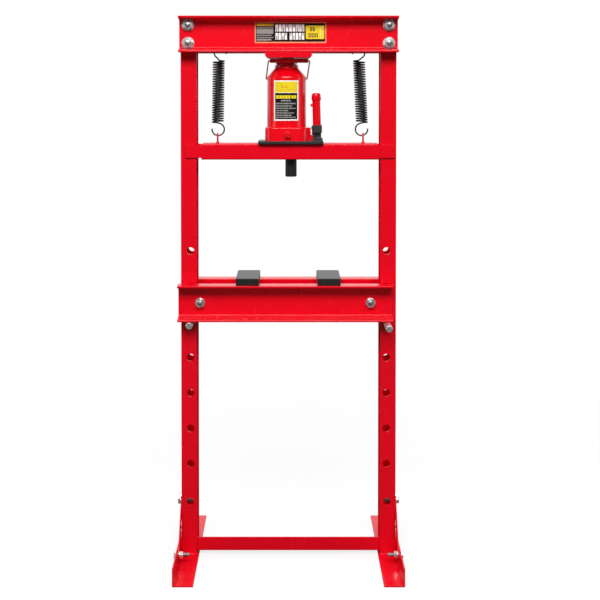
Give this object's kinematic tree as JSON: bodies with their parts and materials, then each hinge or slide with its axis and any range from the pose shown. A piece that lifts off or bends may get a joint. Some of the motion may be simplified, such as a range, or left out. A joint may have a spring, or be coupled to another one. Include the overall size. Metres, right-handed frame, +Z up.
{
  "type": "hydraulic shop press",
  "caption": "Free-standing H-frame shop press: bottle jack drives a spring-returned press beam and ram down onto a height-adjustable bed with press blocks.",
  "frame": {"origin": "on the floor, under the middle of the two uprights", "axes": "+X to the operator's right, +Y to the back, +Z up; the operator stands at -Y"},
  "size_m": [0.6318, 0.546, 1.515],
  "materials": {
    "red_powder_coat": "gloss powder coat with fine orange peel",
    "jack_enamel": "gloss enamel",
    "black_enamel": "satin black enamel",
    "black_spring_steel": "black dipped spring wire",
    "zinc_plate": "bright zinc plate",
    "polished_steel": "ground and polished",
    "printed_label": "glossy printed vinyl",
    "black_oxide": "black oxide, lightly oiled",
    "rubber": "matt"
  },
  "bodies": {
    "frame": {"left_post": "red_powder_coat", "right_post": "red_powder_coat", "head_channel_front": "red_powder_coat", "head_channel_rear": "red_powder_coat", "head_bolts": "zinc_plate", "head_washers": "zinc_plate", "head_nuts": "zinc_plate", "thrust_plate": "red_powder_coat", "left_foot": "red_powder_coat", "right_foot": "red_powder_coat", "lower_crossbar": "red_powder_coat", "left_front_brace": "red_powder_coat", "left_rear_brace": "red_powder_coat", "right_front_brace": "red_powder_coat", "right_rear_brace": "red_powder_coat", "brace_bolts": "zinc_plate", "brace_nuts": "zinc_plate", "brace_washers": "zinc_plate", "spring_anchor_rods": "red_powder_coat", "left_spring": "black_spring_steel", "right_spring": "black_spring_steel", "head_label": "printed_label", "jack_piston": "polished_steel", "extension_screw": "polished_steel"},
    "press_beam": {"press_beam_front": "red_powder_coat", "press_beam_rear": "red_powder_coat", "beam_end_plates": "red_powder_coat", "eye_bolt_straps": "red_powder_coat", "eye_bolts": "red_powder_coat", "eye_bolt_nuts": "zinc_plate", "jack_seat_plate": "black_enamel", "press_ram": "black_enamel", "jack_base": "jack_enamel", "jack_reservoir": "jack_enamel", "jack_cylinder": "polished_steel", "jack_gland_nut": "jack_enamel", "pump_block": "black_oxide", "fulcrum_pin": "black_oxide", "oil_filler_plug": "rubber", "jack_label": "printed_label"},
    "pump_lever": {"socket_clevis": "black_oxide", "handle_socket": "jack_enamel"},
    "plunger": {"pump_plunger": "polished_steel", "plunger_pin": "black_oxide"},
    "valve": {"release_valve": "jack_enamel"},
    "bail": {"bail_wire": "zinc_plate", "bail_grip": "jack_enamel"},
    "bed": {"bed_channel_front": "red_powder_coat", "bed_channel_rear": "red_powder_coat", "bed_bolts": "zinc_plate", "bed_washers": "zinc_plate", "bed_nuts": "zinc_plate", "bed_spacers": "red_powder_coat"},
    "left_pin": {"left_bed_pin": "zinc_plate"},
    "right_pin": {"right_bed_pin": "zinc_plate"},
    "left_block": {"left_press_block": "black_enamel"},
    "right_block": {"right_press_block": "black_enamel"}
  },
  "joints": [
    {"name": "press_slide", "type": "slide", "parent": "frame", "child": "press_beam", "axis": [0, 0, -1], "range_m": [0, 0.12], "deforming": ["left_spring", "right_spring"]},
    {"name": "bed_height", "type": "slide", "parent": "frame", "child": "bed", "axis": [0, 0, 1], "range_m": [-0.4, 0.2]},
    {"name": "left_pin_pull", "type": "slide", "parent": "bed", "child": "left_pin", "axis": [0, -1, 0], "range_m": [0, 0.2]},
    {"name": "right_pin_pull", "type": "slide", "parent": "bed", "child": "right_pin", "axis": [0, -1, 0], "range_m": [0, 0.2]},
    {"name": "left_block_slide", "type": "slide", "parent": "bed", "child": "left_block", "axis": [1, 0, 0], "range_m": [-0.1, 0.065]},
    {"name": "right_block_slide", "type": "slide", "parent": "bed", "child": "right_block", "axis": [1, 0, 0], "range_m": [-0.075, 0.1]},
    {"name": "lever_pump", "type": "hinge", "parent": "press_beam", "child": "pump_lever", "pos_m": [0.0855, 0, 1.195], "axis": [0, 1, 0], "range_deg": [0, 40]},
    {"name": "plunger_stroke", "type": "slide", "parent": "press_beam", "child": "plunger", "axis": [0, 0, 1], "range_m": [0, 0.0125]},
    {"name": "valve_turn", "type": "hinge", "parent": "press_beam", "child": "valve", "pos_m": [-0.002, -0.05, 1.1845], "axis": [0, -1, 0], "range_deg": [0, 360]},
    {"name": "bail_tilt", "type": "hinge", "parent": "press_beam", "child": "bail", "pos_m": [-0.0055, 0, 1.341], "axis": [1, 0, 0], "range_deg": [0, 15]}
  ],
  "couplings": [
    {"joint": "plunger_stroke", "follows": "lever_pump", "m_per_rad": 0.0174}
  ]
}
